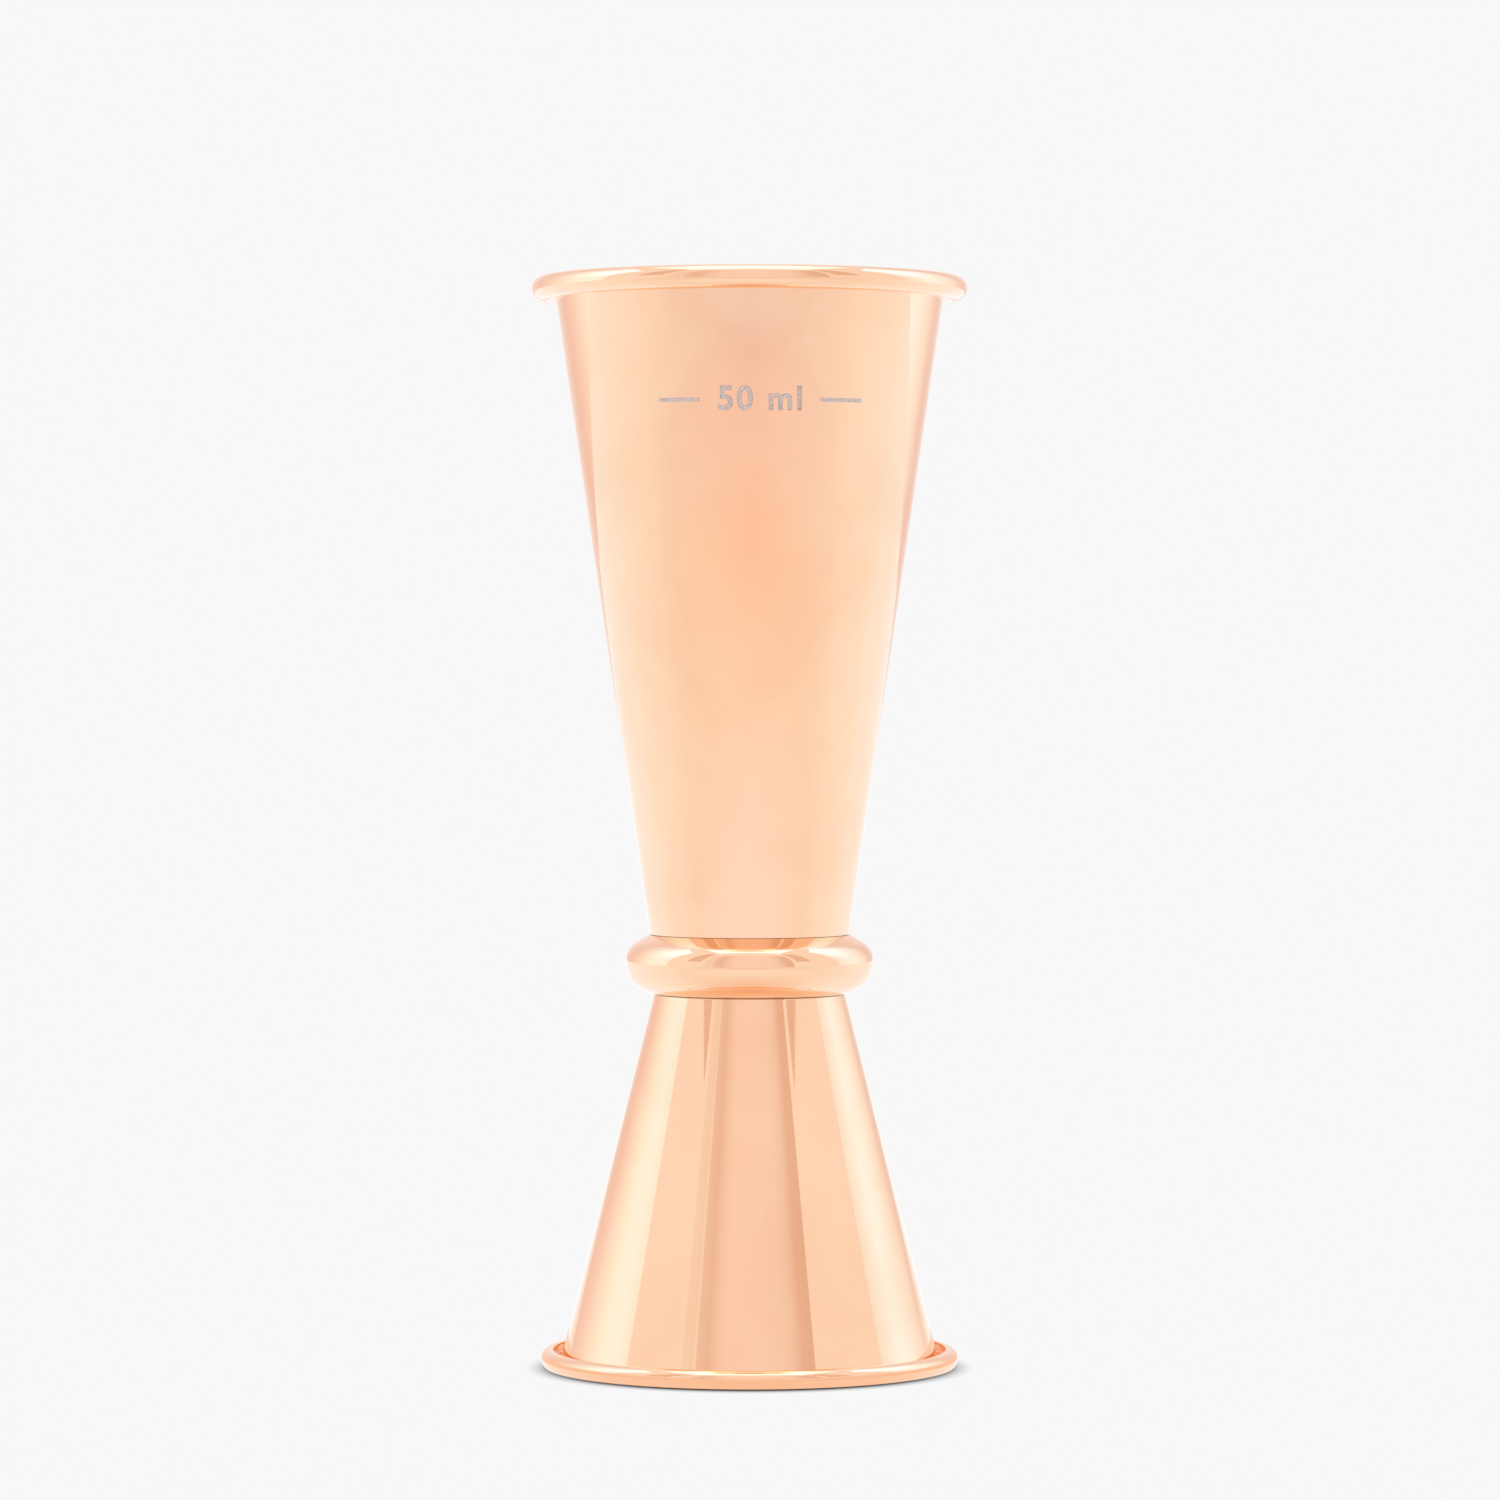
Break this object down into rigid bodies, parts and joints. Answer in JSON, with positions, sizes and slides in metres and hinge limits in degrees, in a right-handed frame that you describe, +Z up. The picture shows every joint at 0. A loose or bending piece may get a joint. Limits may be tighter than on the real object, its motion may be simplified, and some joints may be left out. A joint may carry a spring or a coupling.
{
  "type": "double bar jigger",
  "caption": "Double spirit measure: a tall cone cup and a short cone cup joined base to base, with rolled rims and a half-round ring at the waist, in polished copper.",
  "frame": {"origin": "on the axis, at the plane of the small cup's rim that the jigger stands on", "axes": "+Z up along the axis from the small cup to the large cup; +X and +Y are alike, and the etched mark faces -Y"},
  "size_m": [0.0458, 0.0458, 0.115],
  "materials": {
    "copper_plate": "polished",
    "silver_braze": "satin",
    "etched_mark": "satin"
  },
  "bodies": {
    "root": {"large_cup": "copper_plate", "small_cup": "copper_plate", "waist_ring": "copper_plate", "base_braze_disc": "silver_braze", "upper_ring_braze": "silver_braze", "lower_ring_braze": "silver_braze"}
  },
  "joints": []
}
